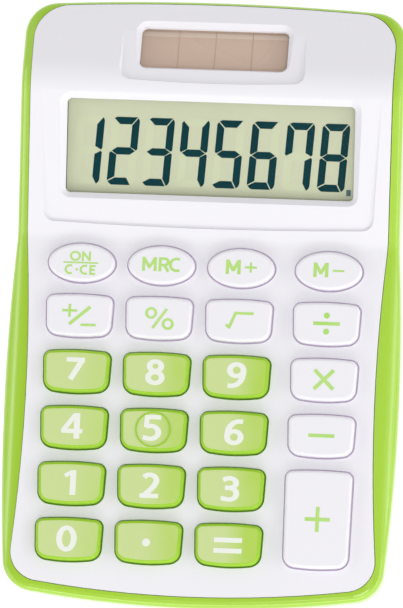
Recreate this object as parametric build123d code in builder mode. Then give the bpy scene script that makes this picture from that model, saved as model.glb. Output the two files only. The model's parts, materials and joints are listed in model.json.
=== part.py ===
from build123d import *
import os
from math import cos, radians, sin, tan

# Desk calculator. X to the right, Y from the user towards the display, Z up.
# The origin is under the middle of the body, on the surface that it stands on.

os.makedirs("parts", exist_ok=True)

# ---- overall shape (mm) ----
half_length = 60.0
foot_height = 0.8
floor_thickness = 1.4
floor_top = foot_height + floor_thickness
key_plane = 10.0  # height of the flat keyboard face
bend_y = 12.8  # where the face bends up to the display
crest_y = 44.0
crest_rise = 6.8
top_end_rise = 1.9
bend_radius = 7.0
crest_radius = 13.0
plate = 1.8  # wall of the front housing
rim_drop = 0.35  # how far the green rim lies under the white face
display_tilt = 12.3  # degrees
solar_tilt = -17.0  # degrees

# ---- outlines, half of each, seen from above ----
outer_waist_x = 39.3  # widest place of the tray
outer_waist_y = -19.0
outer_side_radius = 410.0
outer_top_x = 38.1
outer_bottom_y = -60.1
outer_top_y = 60.5
outer_bottom_bow = 222.0
outer_top_bow = 500.0
outer_bottom_corner = 6.5
outer_top_corner = 6.6
seam_waist_x = 34.8  # narrowest place of the white plate
seam_waist_y = -17.0
seam_side_radius = 357.0
seam_top_x = 36.2
seam_bottom_y = -58.07
seam_top_y = 59.95
seam_corner = 6.0
seam_top_corner = 7.2
seam_gap = 0.15
shoulder_start_x = 34.4  # where the rim begins to round off
shoulder_radius = 6.2
rim_fillet = 1.3
wall_draft = 12.0  # degrees, the tray narrows towards its floor
draft_top = 5.0  # the walls are upright over this height
foot_round = 2.0  # where the walls meet the floor
blank_height = 17.0  # of the block that the bent face then trims

# ---- keys ----
key_width = 13.2
key_height = 8.4
key_proud = 1.6
key_gap = 0.35
flange_width = 0.6
flange_bottom = 7.1
flange_top = 8.1
key_edge = 0.6
columns = [-24.7, -8.8, 7.1, 24.55]
rows = [7.65, -2.9, -14.05, -25.2, -36.35, -47.5]
plus_y = -41.83
plus_height = 19.45

# ---- inside ----
board_bottom = 3.2
board_thickness = 1.2
board_top = board_bottom + board_thickness
mat_thickness = 0.8
mat_top = board_top + mat_thickness
dome_height = 1.2
dome_radius = 3.7
dome_top = mat_top + dome_height
inside_half_width = 32.2
board_front_y = -51.6
board_rear_y = 30.2
mat_rear_y = 13.0
board_screw_places = [(x, y) for x in (-16.75, 15.95) for y in (2.05, -19.6, -41.9)]
case_screw_front = [(-16.3, -54.4), (16.3, -54.4)]
case_screw_rear = [(-29.0, 50.5), (29.0, 50.5)]
foot_places = {
    "foot_front_left": (-29.0, -48.0),
    "foot_front_right": (29.0, -48.0),
    "foot_rear_left": (-30.0, 39.5),
    "foot_rear_right": (30.0, 39.5),
}
cell_x, cell_y = 8.5, 40.0
cell_radius = 5.8
cell_height = 3.1
cover_length, cover_width, cover_thickness = 26.0, 16.0, 1.0
cover_x = 12.5
cover_screw_x = 21.9

# ---- display and solar windows, sizes along their own tilted planes ----
display_y = 30.6
display_width, display_height = 57.4, 18.75
display_corner = 1.0
display_bevel = 2.7  # how far the bevel starts outside the opening, 1 mm over the face
display_depth = 1.35
display_bevel_angle = 50.2  # degrees off upright
solar_y = 51.0
solar_width, solar_height = 29.4, 8.75
solar_corner = 1.2
solar_bevel = 2.12
solar_depth = 1.25
solar_bevel_angle = 47.0
window_thickness = 0.6


def face_z(y):
    """Height of the unrounded front face over a place on the length."""
    if y < bend_y:
        return key_plane
    if y < crest_y:
        return key_plane + (y - bend_y) * crest_rise / (crest_y - bend_y)
    fall = (crest_rise - top_end_rise) / (half_length - crest_y)
    return key_plane + crest_rise - (y - crest_y) * fall


def face_plane(y, tilt, depth):
    """Plane parallel to the tilted face at y, a given depth under it."""
    normal = Vector(0, -sin(radians(tilt)), cos(radians(tilt)))
    on_face = Vector(0, y, face_z(y))
    return Plane(origin=on_face - normal * depth, x_dir=(1, 0, 0), z_dir=normal)


def face_points(drop):
    """Corners of the side view of the face, lowered by drop."""
    over = 4.0
    places = (-half_length - over, bend_y, crest_y, half_length + over)
    return [(y, face_z(y) - drop) for y in places]


def slab(upper_drop, lower_drop):
    """All that lies between two lowered copies of the face, the full width."""
    with BuildPart() as bent:
        with BuildSketch(Plane.YZ):
            with BuildLine():
                top = FilletPolyline(*face_points(upper_drop), radius=(bend_radius, crest_radius))
                low = FilletPolyline(*face_points(lower_drop), radius=(bend_radius, crest_radius))
                Line(top @ 0, low @ 0)
                Line(top @ 1, low @ 1)
            make_face()
        extrude(amount=45, both=True)
    return bent.part


def under_face(drop):
    """All that lies under a lowered copy of the face, the full width."""
    with BuildPart() as block:
        with BuildSketch(Plane.YZ):
            with BuildLine():
                top = FilletPolyline(*face_points(drop), radius=(bend_radius, crest_radius))
                Polyline(top @ 0, ((top @ 0).X, -5), ((top @ 1).X, -5), top @ 1)
            make_face()
        extrude(amount=45, both=True)
    return block.part


def housing_outline(waist_x, waist_y, side_radius, top_x, bottom_y, top_y, bows, corners):
    """Plan of the body: bulged or waisted sides under the bend, bowed ends."""

    def side_x(y):
        bend = 1 if waist_x < top_x else -1
        return waist_x + bend * (y - waist_y) ** 2 / (2 * side_radius)

    foot_x = side_x(bottom_y + 2.5)
    foot_y = bottom_y + foot_x**2 / (2 * bows[0])
    head_y = top_y - top_x**2 / (2 * bows[1])
    bend_x = side_x(bend_y)
    with BuildSketch(mode=Mode.PRIVATE) as outline:
        with BuildLine():
            ThreePointArc((-foot_x, foot_y), (0, bottom_y), (foot_x, foot_y))
            ThreePointArc((-top_x, head_y), (0, top_y), (top_x, head_y))
            for side in (-1, 1):
                ThreePointArc((side * foot_x, foot_y), (side * waist_x, waist_y), (side * bend_x, bend_y))
                Line((side * bend_x, bend_y), (side * top_x, head_y))
        make_face()
        fillet(outline.vertices().group_by(Axis.Y)[0], corners[0])
        fillet(outline.vertices().group_by(Axis.Y)[-1], corners[1])
        fillet(outline.vertices().filter_by(lambda v: abs(v.Y - bend_y) < 0.01), 60)
    return outline.sketch


outer_outline = housing_outline(
    outer_waist_x, outer_waist_y, outer_side_radius, outer_top_x, outer_bottom_y, outer_top_y,
    (outer_bottom_bow, outer_top_bow), (outer_bottom_corner, outer_top_corner),
)
seam_outline = housing_outline(
    seam_waist_x, seam_waist_y, seam_side_radius, seam_top_x, seam_bottom_y, seam_top_y,
    (outer_bottom_bow, outer_top_bow), (seam_corner, seam_top_corner),
)


def inset(outline, amount):
    """The outline moved inwards."""
    return offset(outline, amount=-amount, kind=Kind.INTERSECTION, mode=Mode.PRIVATE)


def key_outline(shape, grow=0.0):
    """Plan of a key cap about its own middle: an ellipse, or a barrel with bowed ends."""
    with BuildSketch(mode=Mode.PRIVATE) as outline:
        if shape == "oval":
            Ellipse(key_width / 2 + grow, 3.8 + grow)
        else:
            half = key_width / 2
            top = (plus_height if shape == "tall" else key_height) / 2
            taper = 0.25 if shape == "tall" else 0.3
            top_bow, bottom_bow = (0.3, 0.5) if shape == "tall" else (0.4, 0.65)
            with BuildLine():
                ThreePointArc((-half, top - top_bow), (0, top), (half, top - top_bow))
                foot = half - taper
                ThreePointArc((-foot, bottom_bow - top), (0, -top), (foot, bottom_bow - top))
                for side in (-1, 1):
                    Line((side * half, top - top_bow), (side * foot, bottom_bow - top))
            make_face()
            fillet(outline.vertices().group_by(Axis.Y)[-1], 1.4)
            fillet(outline.vertices().group_by(Axis.Y)[0], 2.3)
            if grow:
                offset(amount=grow, kind=Kind.ARC)
    return outline.sketch


# name: (column, y, shape)
keys = {
    "key_on_clear": (0, rows[0], "oval"),
    "key_memory_recall": (1, rows[0], "oval"),
    "key_memory_plus": (2, rows[0], "oval"),
    "key_memory_minus": (3, rows[0], "oval"),
    "key_sign": (0, rows[1], "barrel"),
    "key_percent": (1, rows[1], "barrel"),
    "key_root": (2, rows[1], "barrel"),
    "key_divide": (3, rows[1], "barrel"),
    "key_7": (0, rows[2], "barrel"),
    "key_8": (1, rows[2], "barrel"),
    "key_9": (2, rows[2], "barrel"),
    "key_multiply": (3, rows[2], "barrel"),
    "key_4": (0, rows[3], "barrel"),
    "key_5": (1, rows[3], "barrel"),
    "key_6": (2, rows[3], "barrel"),
    "key_minus": (3, rows[3], "barrel"),
    "key_1": (0, rows[4], "barrel"),
    "key_2": (1, rows[4], "barrel"),
    "key_3": (2, rows[4], "barrel"),
    "key_0": (0, rows[5], "barrel"),
    "key_point": (1, rows[5], "barrel"),
    "key_equals": (2, rows[5], "barrel"),
    "key_plus": (3, plus_y, "tall"),
}
key_places = [(columns[column], y) for column, y, shape in keys.values()]


def save(part, name):
    """Label one finished piece and write it."""
    part.label = name
    export_step(part, f"parts/{name}.step")


# ---- front housing ----
skirt_bottom = 5.4
skirt_outside = 1.05
skirt_thickness = 1.05
display_glass_width, display_glass_height, display_glass_thickness = 62.0, 23.6, 1.1
solar_cell_width, solar_cell_height, solar_cell_thickness = 32.6, 10.4, 1.1
strip_half_width = 26.0
display_floor = face_plane(display_y, display_tilt, 0)
solar_floor = face_plane(solar_y, solar_tilt, 0)


# how far under the face the windows are bonded
display_seat = plate * cos(radians(display_tilt)) + 0.04
solar_seat = plate * cos(radians(solar_tilt)) + 0.25
pad_tilt = 1.0  # the display pad leans a little more than the face round it
pad_plane = Plane(
    origin=(0, crest_y - 1.0, face_z(crest_y - 1.0)),
    x_dir=(1, 0, 0),
    z_dir=(0, -sin(radians(display_tilt + pad_tilt)), cos(radians(display_tilt + pad_tilt))),
)
pad_length = 28.4
pad_bow = 0.7  # of its lower edge
pad_foot_x, pad_head_x = 32.9, 34.1
pad_corner = 2.4
pad_cut = 3.0
solar_pad_half_width, solar_pad_length = 18.2, 12.5
solar_pad_bow = 0.6
solar_pad_corner = 2.0
solar_pad_plane = Plane(
    origin=(0, 43.6, face_z(crest_y) - 0.75),
    x_dir=(1, 0, 0),
    z_dir=(0, sin(radians(12.5)), cos(radians(12.5))),
)

with BuildPart() as skirt_block:
    with BuildSketch(Plane.XY.offset(skirt_bottom)):
        add(inset(seam_outline, skirt_outside))
        add(inset(seam_outline, skirt_outside + skirt_thickness), mode=Mode.SUBTRACT)
    extrude(amount=15)
    add(under_face(plate - 0.1), mode=Mode.INTERSECT)
skirt = skirt_block.part

board_boss_radius = 1.3
board_pilot_radius = 0.62
case_boss_radius = 2.1
case_pilot_radius = 0.88
case_boss_bottom = 5.3
with BuildPart() as boss_block:
    with BuildSketch(Plane.XY.offset(board_top + 0.05)):
        with Locations(*board_screw_places):
            Circle(board_boss_radius)
    extrude(amount=15)
    with BuildSketch(Plane.XY.offset(case_boss_bottom)):
        with Locations(*case_screw_front, *case_screw_rear):
            Circle(case_boss_radius)
    extrude(amount=15)
    add(under_face(plate - 0.1), mode=Mode.INTERSECT)
    with BuildSketch(Plane.XY.offset(board_top)):
        with Locations(*board_screw_places):
            Circle(board_pilot_radius)
    extrude(amount=3.4, mode=Mode.SUBTRACT)
    with BuildSketch(Plane.XY.offset(case_boss_bottom)):
        with Locations(*case_screw_front):
            Circle(case_pilot_radius)
    extrude(amount=3.2, mode=Mode.SUBTRACT)
    with BuildSketch(Plane.XY.offset(case_boss_bottom)):
        with Locations(*case_screw_rear):
            Circle(case_pilot_radius)
    extrude(amount=5.5, mode=Mode.SUBTRACT)
bosses = boss_block.part

with BuildPart() as front_housing:
    with BuildSketch():
        add(inset(seam_outline, seam_gap))
    extrude(amount=20)
    add(slab(0, plate), mode=Mode.INTERSECT)
    # shallow pad round the display, deepest at its lower edge
    with BuildSketch(pad_plane) as display_pad:
        with BuildLine():
            pad_foot_y = pad_bow - pad_length
            ThreePointArc((-pad_foot_x, pad_foot_y), (0, -pad_length), (pad_foot_x, pad_foot_y))
            Line((-pad_foot_x, pad_foot_y), (-pad_head_x, 1))
            Line((pad_foot_x, pad_foot_y), (pad_head_x, 1))
            Line((-pad_head_x, 1), (pad_head_x, 1))
        make_face()
        fillet(display_pad.vertices().group_by(Axis.Y)[0], pad_corner)
    extrude(amount=pad_cut, mode=Mode.SUBTRACT)
    # shallow pad round the solar cell, running out at the rear end
    with BuildSketch(solar_pad_plane) as solar_pad:
        with BuildLine():
            side, bow = solar_pad_half_width, solar_pad_bow
            ThreePointArc((-side, bow), (0, 0), (side, bow))
            Polyline((-side, bow), (-side, solar_pad_length), (side, solar_pad_length), (side, bow))
        make_face()
        fillet(solar_pad.vertices().group_by(Axis.Y)[0], solar_pad_corner)
    extrude(amount=pad_cut, taper=-30, mode=Mode.SUBTRACT)
    # bevelled openings; the bevels narrow inwards, so their corners start wider
    display_bevel_corner = display_corner + (1 + display_depth) * tan(radians(display_bevel_angle))
    solar_bevel_corner = solar_corner + (1 + solar_depth) * tan(radians(solar_bevel_angle))
    with BuildSketch(display_floor.offset(1)):
        RectangleRounded(display_width + 2 * display_bevel, display_height + 2 * display_bevel, display_bevel_corner)
    extrude(amount=-1 - display_depth, taper=display_bevel_angle, mode=Mode.SUBTRACT)
    with BuildSketch(display_floor):
        RectangleRounded(display_width, display_height, display_corner)
    extrude(amount=3, both=True, mode=Mode.SUBTRACT)
    with BuildSketch(solar_floor.offset(1)):
        RectangleRounded(solar_width + 2 * solar_bevel, solar_height + 2 * solar_bevel, solar_bevel_corner)
    extrude(amount=-1 - solar_depth, taper=solar_bevel_angle, mode=Mode.SUBTRACT)
    with BuildSketch(solar_floor):
        RectangleRounded(solar_width, solar_height, solar_corner)
    extrude(amount=3, both=True, mode=Mode.SUBTRACT)
    # key holes
    for column, y, shape in keys.values():
        with BuildSketch(Plane(origin=(columns[column], y, key_plane - 4))):
            add(key_outline(shape, key_gap))
        extrude(amount=6, mode=Mode.SUBTRACT)

    # skirt that locates the plate inside the tray
    add(skirt)
    # frames that hold the display glass and the solar cell
    with BuildSketch(display_floor.offset(-display_seat)):
        Rectangle(display_glass_width + 2.4, display_glass_height + 2.4)
        Rectangle(display_glass_width + 0.4, display_glass_height + 0.4, mode=Mode.SUBTRACT)
        with Locations((0, -display_glass_height / 2)):
            Rectangle(2 * strip_half_width + 2, 4, mode=Mode.SUBTRACT)
    extrude(amount=-2.4)
    with BuildSketch(solar_floor.offset(-solar_seat)):
        Rectangle(solar_cell_width + 2.2, solar_cell_height + 2.2)
        Rectangle(solar_cell_width + 0.4, solar_cell_height + 0.4, mode=Mode.SUBTRACT)
    extrude(amount=-2.2)
    # bosses for the circuit board screws and the case screws
    add(bosses)

save(front_housing.part, "front_housing")

# ---- rear housing ----
ledge_width = 0.9
cavity_drop = plate + 0.2
post_radius = 2.3
post_hole = 1.15
head_recess_radius = 1.75
head_recess_depth = 1.6
foot_radius = 3.5
foot_recess = 0.5
block_top = 3.4
ring_wall = 1.1
cell_clearance = 0.25
ring_top = 5.4
board_pads = [(x, y) for x in (-28.0, -8.8, 7.1, 28.0) for y in (-8.5, -30.8)]

with BuildPart() as shoulder:
    # what the rounded rim leaves out on each side, following the bent face
    with BuildLine(Plane.YZ):
        FilletPolyline(*face_points(rim_drop), radius=(bend_radius, crest_radius))
    with BuildSketch(Plane.XZ.offset(half_length + 4)):
        level = key_plane - rim_drop
        reach = 5.3
        fall = shoulder_radius - (shoulder_radius**2 - reach**2) ** 0.5
        with BuildLine():
            RadiusArc((shoulder_start_x, level), (shoulder_start_x + reach, level - fall), shoulder_radius)
            Polyline(
                (shoulder_start_x + reach, level - fall),
                (shoulder_start_x + reach, level + 0.2),
                (shoulder_start_x, level + 0.2),
                (shoulder_start_x, level),
            )
        make_face()
    sweep()
    mirror(about=Plane.YZ)

with BuildPart() as pocket_block:
    with BuildSketch():
        add(seam_outline)
    extrude(amount=25)
    add(under_face(cavity_drop), mode=Mode.SUBTRACT)
pocket = pocket_block.part

with BuildPart() as rear_housing:
    with BuildSketch(Plane.XY.offset(foot_height)):
        add(inset(outer_outline, (draft_top - foot_height) * tan(radians(wall_draft))))
    extrude(amount=draft_top - foot_height, taper=-wall_draft)
    with BuildSketch(Plane.XY.offset(draft_top)):
        add(outer_outline)
    extrude(amount=blank_height)
    add(under_face(rim_drop), mode=Mode.INTERSECT)
    add(shoulder.part, mode=Mode.SUBTRACT)
    # bead round the top and rounded foot of the walls
    walls = rear_housing.faces().filter_by(lambda f: abs(f.normal_at().Z) < 0.01)
    level_edges = walls.edges().filter_by(lambda e: abs((e @ 0 - e @ 1).Z) < 0.8 * e.length)
    rim_edges = level_edges.filter_by(lambda e: e.center().Z > draft_top + 0.5)
    fillet(rim_edges, rim_fillet)
    fillet(rear_housing.faces().sort_by(Axis.Z)[0].edges(), foot_round)
    # cavity, and the ledge that the front plate drops onto
    with BuildSketch(Plane.XY.offset(floor_top)):
        add(inset(seam_outline, ledge_width))
    extrude(amount=20, mode=Mode.SUBTRACT)
    add(pocket, mode=Mode.SUBTRACT)
    # posts for the case screws, pads under the circuit board
    with BuildSketch(Plane.XY.offset(foot_height)):
        with Locations(*case_screw_front, *case_screw_rear):
            Circle(post_radius)
    extrude(amount=case_boss_bottom - 0.1 - foot_height)
    with BuildSketch(Plane.XY.offset(floor_top)):
        with Locations(*board_pads):
            Circle(1.5)
    extrude(amount=board_bottom - 0.02 - floor_top)
    # block and ring that hold the button cell over its opening
    with BuildSketch(Plane.XY.offset(foot_height)):
        with Locations((cover_x, cell_y)):
            Rectangle(cover_length + 3, cover_width + 3)
    extrude(amount=block_top - foot_height)
    with BuildSketch(Plane.XY.offset(block_top)):
        with Locations((cell_x, cell_y)):
            Circle(cell_radius + cell_clearance + ring_wall)
        with Locations((cell_x, cell_y - cell_radius)):
            Rectangle(9, 4, mode=Mode.SUBTRACT)
    extrude(amount=ring_top - block_top)
    with BuildSketch(Plane.XY):
        with Locations((cell_x, cell_y)):
            Circle(cell_radius + cell_clearance)
    extrude(amount=10, mode=Mode.SUBTRACT)
    with BuildSketch(Plane.XY):
        with Locations((cover_x, cell_y)):
            RectangleRounded(cover_length + 0.3, cover_width + 0.3, 2.15)
    extrude(amount=foot_height + cover_thickness + 0.05, mode=Mode.SUBTRACT)
    with Locations(Plane.XY.offset(block_top)):
        with Locations((cover_screw_x, cell_y)):
            Hole(radius=0.78, depth=block_top - foot_height)
    # screw holes from below, and seats for the feet
    with Locations(Plane((0, 0, foot_height), x_dir=(1, 0, 0), z_dir=(0, 0, -1))):
        with Locations(*[(x, -y) for x, y in case_screw_front + case_screw_rear]):
            CounterBoreHole(post_hole, head_recess_radius, head_recess_depth, depth=6)
    with BuildSketch(Plane.XY):
        with Locations(*foot_places.values()):
            Circle(foot_radius + 0.1)
    extrude(amount=foot_height + foot_recess, mode=Mode.SUBTRACT)
save(rear_housing.part, "rear_housing")

# ---- rubber feet ----
for name, place in foot_places.items():
    with BuildPart() as foot:
        with BuildSketch():
            with Locations(place):
                Circle(foot_radius)
        extrude(amount=foot_height + foot_recess)
        fillet(foot.faces().sort_by(Axis.Z)[0].edges(), 0.35)
    save(foot.part, name)

# ---- windows, display glass and solar cell ----
with BuildPart() as display_window:
    with BuildSketch(display_floor.offset(-display_seat)):
        RectangleRounded(display_width + 2.6, display_height + 2.6, 0.8)
    extrude(amount=-window_thickness)
save(display_window.part, "display_window")

glass_depth = display_seat + window_thickness + 0.1
lower_sheet = display_glass_height - 0.8
contact_ledge = 1.1
with BuildPart() as lcd_glass:
    with BuildSketch(display_floor.offset(-glass_depth)):
        with Locations((0, contact_ledge / 2)):
            Rectangle(display_glass_width - 2.2, lower_sheet - contact_ledge)
    extrude(amount=-display_glass_thickness)
    # the lower sheet carries the contacts, so it reaches further down
    with BuildSketch(display_floor.offset(-glass_depth - display_glass_thickness / 2)):
        Rectangle(display_glass_width - 2.2, lower_sheet)
    extrude(amount=-display_glass_thickness / 2)
save(lcd_glass.part, "lcd_glass")

with BuildPart() as lcd_reflector:
    with BuildSketch(display_floor.offset(-glass_depth - display_glass_thickness)):
        Rectangle(display_width + 1.0, display_height + 1.0)
    extrude(amount=-0.2)
save(lcd_reflector.part, "lcd_reflector")

with BuildPart() as display_gasket:
    with BuildSketch(display_floor.offset(-display_seat - window_thickness)):
        Rectangle(display_glass_width, display_glass_height + 0.2)
        Rectangle(display_glass_width - 2.0, display_glass_height - 0.6, mode=Mode.SUBTRACT)
    extrude(amount=-0.4)
save(display_gasket.part, "display_gasket")

with BuildPart() as solar_window:
    with BuildSketch(solar_floor.offset(-solar_seat)):
        RectangleRounded(solar_width + 1.8, solar_height + 1.2, 0.6)
    extrude(amount=-0.5)
save(solar_window.part, "solar_window")

solar_cell_depth = solar_seat + 0.6
with BuildPart() as solar_cell:
    with BuildSketch(solar_floor.offset(-solar_cell_depth)):
        Rectangle(solar_cell_width, solar_cell_height)
    extrude(amount=-solar_cell_thickness)
save(solar_cell.part, "solar_cell")

# ---- circuit board and what is on it ----
with BuildPart() as circuit_board:
    with BuildSketch(Plane.XY.offset(board_bottom)):
        with Locations((0, (board_front_y + board_rear_y) / 2)):
            Rectangle(2 * inside_half_width, board_rear_y - board_front_y)
        with Locations(*board_screw_places):
            Circle(0.85, mode=Mode.SUBTRACT)
    extrude(amount=board_thickness)
    fillet(circuit_board.edges().filter_by(Axis.Z).filter_by(lambda e: abs(e.center().X) > 30), 1.2)
save(circuit_board.part, "circuit_board")

with BuildPart() as contact_pads:
    # printed carbon halves, one pair under each key, parted by a stepped gap
    with BuildSketch(Plane.XY.offset(board_top)):
        with Locations(*key_places):
            Circle(2.4)
            Rectangle(0.3, 6, mode=Mode.SUBTRACT)
    extrude(amount=0.05)
save(contact_pads.part, "contact_pads")

chip_x, chip_y = -15.5, 25.75
with BuildPart() as chip_coating:
    with BuildSketch(Plane.XZ.offset(-chip_y)):
        with BuildLine():
            ThreePointArc((chip_x, board_top + 1.3), (chip_x + 2.9, board_top + 0.85), (chip_x + 4.4, board_top))
            Polyline((chip_x + 4.4, board_top), (chip_x, board_top), (chip_x, board_top + 1.3))
        make_face()
    revolve(axis=Axis((chip_x, chip_y, 0), (0, 0, 1)))
save(chip_coating.part, "chip_coating")

capacitor_radius = 1.6
with BuildPart() as electrolytic_capacitor:
    with BuildSketch(Plane.YZ.offset(-1.0)):
        with Locations((24.0, board_top + capacitor_radius)):
            Circle(capacitor_radius)
    extrude(amount=5.0)
    fillet(electrolytic_capacitor.edges().filter_by(GeomType.CIRCLE), 0.25)
    with BuildSketch(Plane.XY.offset(board_top)):
        with Locations((4.6, 23.3), (4.6, 24.7)):
            Circle(0.2)
    extrude(amount=capacitor_radius)
    with BuildSketch(Plane.YZ.offset(3.9)):
        with Locations((23.3, board_top + capacitor_radius), (24.7, board_top + capacitor_radius)):
            Circle(0.2)
    extrude(amount=0.9)
save(electrolytic_capacitor.part, "electrolytic_capacitor")


def axial_parts(places, radius, body_length):
    """Small bodies lying along X with a bent lead at each end."""
    reach = body_length / 2 + 1.1
    height = board_top + radius + 0.1
    with BuildPart() as group:
        for x, y in places:
            with BuildSketch(Plane.YZ.offset(x - body_length / 2)):
                with Locations((y, height)):
                    Circle(radius)
            extrude(amount=body_length)
            with BuildLine():
                FilletPolyline(
                    (x - reach, y, board_top),
                    (x - reach, y, height),
                    (x + reach, y, height),
                    (x + reach, y, board_top),
                    radius=0.4,
                )
            with BuildSketch(Plane.XY.offset(board_top)):
                with Locations((x - reach, y)):
                    Circle(0.22)
            sweep()
    return group.part


save(axial_parts([(-26.5, 22.6), (-26.5, 25.2), (-26.5, 27.8)], 0.75, 3.2), "resistors")
save(axial_parts([(18.0, 23.4), (18.0, 26.2)], 0.65, 2.6), "diodes")

# ---- heat-seal strip from the display glass down to the circuit board ----
flex_thickness = 0.16
on_ledge = display_floor.offset(-glass_depth - display_glass_thickness / 2 + flex_thickness / 2 + 0.01)
strip_start = on_ledge.from_local_coords((0, contact_ledge - 0.2 - lower_sheet / 2))
strip_turn = on_ledge.from_local_coords((0, -1.2 - lower_sheet / 2))
strip_foot = board_top + flex_thickness / 2 + 0.01
with BuildPart() as lcd_flex:
    with BuildSketch(Plane.YZ):
        with BuildLine():
            strip_line = FilletPolyline(
                (strip_start.Y, strip_start.Z),
                (strip_turn.Y, strip_turn.Z),
                (strip_turn.Y - 0.4, strip_foot),
                (strip_turn.Y + 2.2, strip_foot),
                radius=0.6,
            )
            offset(strip_line, amount=flex_thickness / 2)
        make_face()
    extrude(amount=strip_half_width, both=True)
save(lcd_flex.part, "lcd_flex")

# ---- key mat ----
with BuildPart() as key_mat:
    with BuildSketch(Plane.XY.offset(board_top)):
        with Locations((0, (board_front_y + mat_rear_y) / 2)):
            RectangleRounded(2 * inside_half_width, mat_rear_y - board_front_y, 1.5)
        with Locations(*board_screw_places):
            Circle(board_boss_radius + 0.25, mode=Mode.SUBTRACT)
    extrude(amount=mat_thickness)
    with BuildSketch(Plane.XY.offset(mat_top)):
        with Locations(*key_places):
            Circle(dome_radius)
    extrude(amount=dome_height, taper=42)
    with BuildSketch(Plane.XY.offset(board_top)):
        with Locations(*key_places):
            Circle(dome_radius - 0.6)
    extrude(amount=mat_thickness + 0.75, taper=28, mode=Mode.SUBTRACT)
    with BuildSketch(Plane.XY.offset(board_top + 1.15)):
        with Locations(*key_places):
            Circle(1.3)
    extrude(amount=0.6)
save(key_mat.part, "key_mat")

# ---- keys ----
for name, (column, y, shape) in keys.items():
    base = Plane(origin=(columns[column], y, flange_bottom))
    cap_top = key_plane + key_proud - flange_bottom
    with BuildPart() as key:
        with BuildSketch(base):
            add(key_outline(shape))
        extrude(amount=cap_top)
        fillet(key.faces().sort_by(Axis.Z)[-1].edges(), key_edge)
        with BuildSketch(base):
            add(key_outline(shape, flange_width))
        extrude(amount=flange_top - flange_bottom)
        # hollow cap with a plunger over the dome
        with BuildSketch(base):
            add(key_outline(shape, -1.1))
        extrude(amount=cap_top - 1.2, mode=Mode.SUBTRACT)
        with BuildSketch(base.offset(dome_top + 0.02 - flange_bottom)):
            Circle(2.0)
        extrude(until=Until.NEXT)
        if name == "key_5":
            # raised ring that the finger finds
            with BuildSketch(base.offset(cap_top)):
                Circle(3.55)
                Circle(3.25, mode=Mode.SUBTRACT)
            extrude(amount=0.12)
    save(key.part, name)


# ---- power ----
with BuildPart() as button_cell:
    with BuildSketch(Plane.XY.offset(foot_height + cover_thickness + 0.1)):
        with Locations((cell_x, cell_y)):
            Circle(cell_radius)
    extrude(amount=cell_height - 0.35)
    fillet(button_cell.edges().sort_by(Axis.Z)[0], 0.5)
    with BuildSketch(Plane.XY.offset(foot_height + cover_thickness + 0.1 + cell_height - 0.35)):
        with Locations((cell_x, cell_y)):
            Circle(cell_radius - 0.7)
    extrude(amount=0.35)
    fillet(button_cell.edges().sort_by(Axis.Z)[-1], 0.2)
save(button_cell.part, "button_cell")
cell_top = foot_height + cover_thickness + 0.1 + cell_height

with BuildPart() as battery_cover:
    with BuildSketch(Plane.XY.offset(foot_height)):
        with Locations((cover_x, cell_y)):
            RectangleRounded(cover_length, cover_width, 2.0)
    extrude(amount=cover_thickness)
    chamfer(battery_cover.faces().sort_by(Axis.Z)[0].edges(), 0.25)
    with BuildSketch(Plane.XY.offset(foot_height)):
        with Locations((cover_x - 9.0, cell_y)):
            with GridLocations(1.7, 1, 3, 1):
                Rectangle(0.8, 8.0)
    extrude(amount=0.35, mode=Mode.SUBTRACT)
    with Locations(Plane((cover_screw_x, cell_y, foot_height), x_dir=(1, 0, 0), z_dir=(0, 0, -1))):
        CounterSinkHole(0.95, 1.75, depth=3)
save(battery_cover.part, "battery_cover")


def cross_shape(size):
    """Crosshead recess of a screw."""
    with BuildSketch(mode=Mode.PRIVATE) as cross:
        Rectangle(size, size / 4)
        Rectangle(size / 4, size)
    return cross.sketch


with BuildPart() as battery_cover_screw:
    with BuildSketch(Plane.XZ.offset(-cell_y)):
        with BuildLine():
            Polyline(
                (cover_screw_x, foot_height + 0.05),
                (cover_screw_x + 1.6, foot_height + 0.05),
                (cover_screw_x + 0.75, foot_height + 0.9),
                (cover_screw_x + 0.75, block_top - 0.5),
                (cover_screw_x, block_top - 0.1),
                close=True,
            )
        make_face()
    revolve(axis=Axis((cover_screw_x, cell_y, 0), (0, 0, 1)))
    with BuildSketch(Plane.XY.offset(foot_height + 0.05)):
        with Locations((cover_screw_x, cell_y)):
            add(cross_shape(1.8))
    extrude(amount=0.5, mode=Mode.SUBTRACT)
save(battery_cover_screw.part, "battery_cover_screw")

head_bottom = foot_height + 0.2
with BuildPart() as case_screws:
    with BuildSketch(Plane.XY.offset(head_bottom)):
        with Locations(*case_screw_front, *case_screw_rear):
            Circle(1.6)
    extrude(amount=foot_height + head_recess_depth - head_bottom)
    fillet(case_screws.edges().group_by(Axis.Z)[0], 0.35)
    with BuildSketch(Plane.XY.offset(foot_height + head_recess_depth)):
        with Locations(*case_screw_front, *case_screw_rear):
            Circle(0.85)
    extrude(amount=5.8)
    with BuildSketch(Plane.XY.offset(head_bottom)):
        with Locations(*case_screw_front, *case_screw_rear):
            add(cross_shape(1.8))
    extrude(amount=0.6, mode=Mode.SUBTRACT)
save(case_screws.part, "case_screws")

board_head = 0.7
with BuildPart() as board_screws:
    with BuildSketch(Plane.XY.offset(board_bottom - board_head)):
        with Locations(*board_screw_places):
            Circle(1.25)
    extrude(amount=board_head)
    fillet(board_screws.edges().group_by(Axis.Z)[0], 0.2)
    with BuildSketch(Plane.XY.offset(board_bottom)):
        with Locations(*board_screw_places):
            Circle(0.6)
    extrude(amount=board_thickness + 3.0)
    with BuildSketch(Plane.XY.offset(board_bottom - board_head)):
        with Locations(*board_screw_places):
            add(cross_shape(1.4))
    extrude(amount=0.4, mode=Mode.SUBTRACT)
save(board_screws.part, "board_screws")

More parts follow.
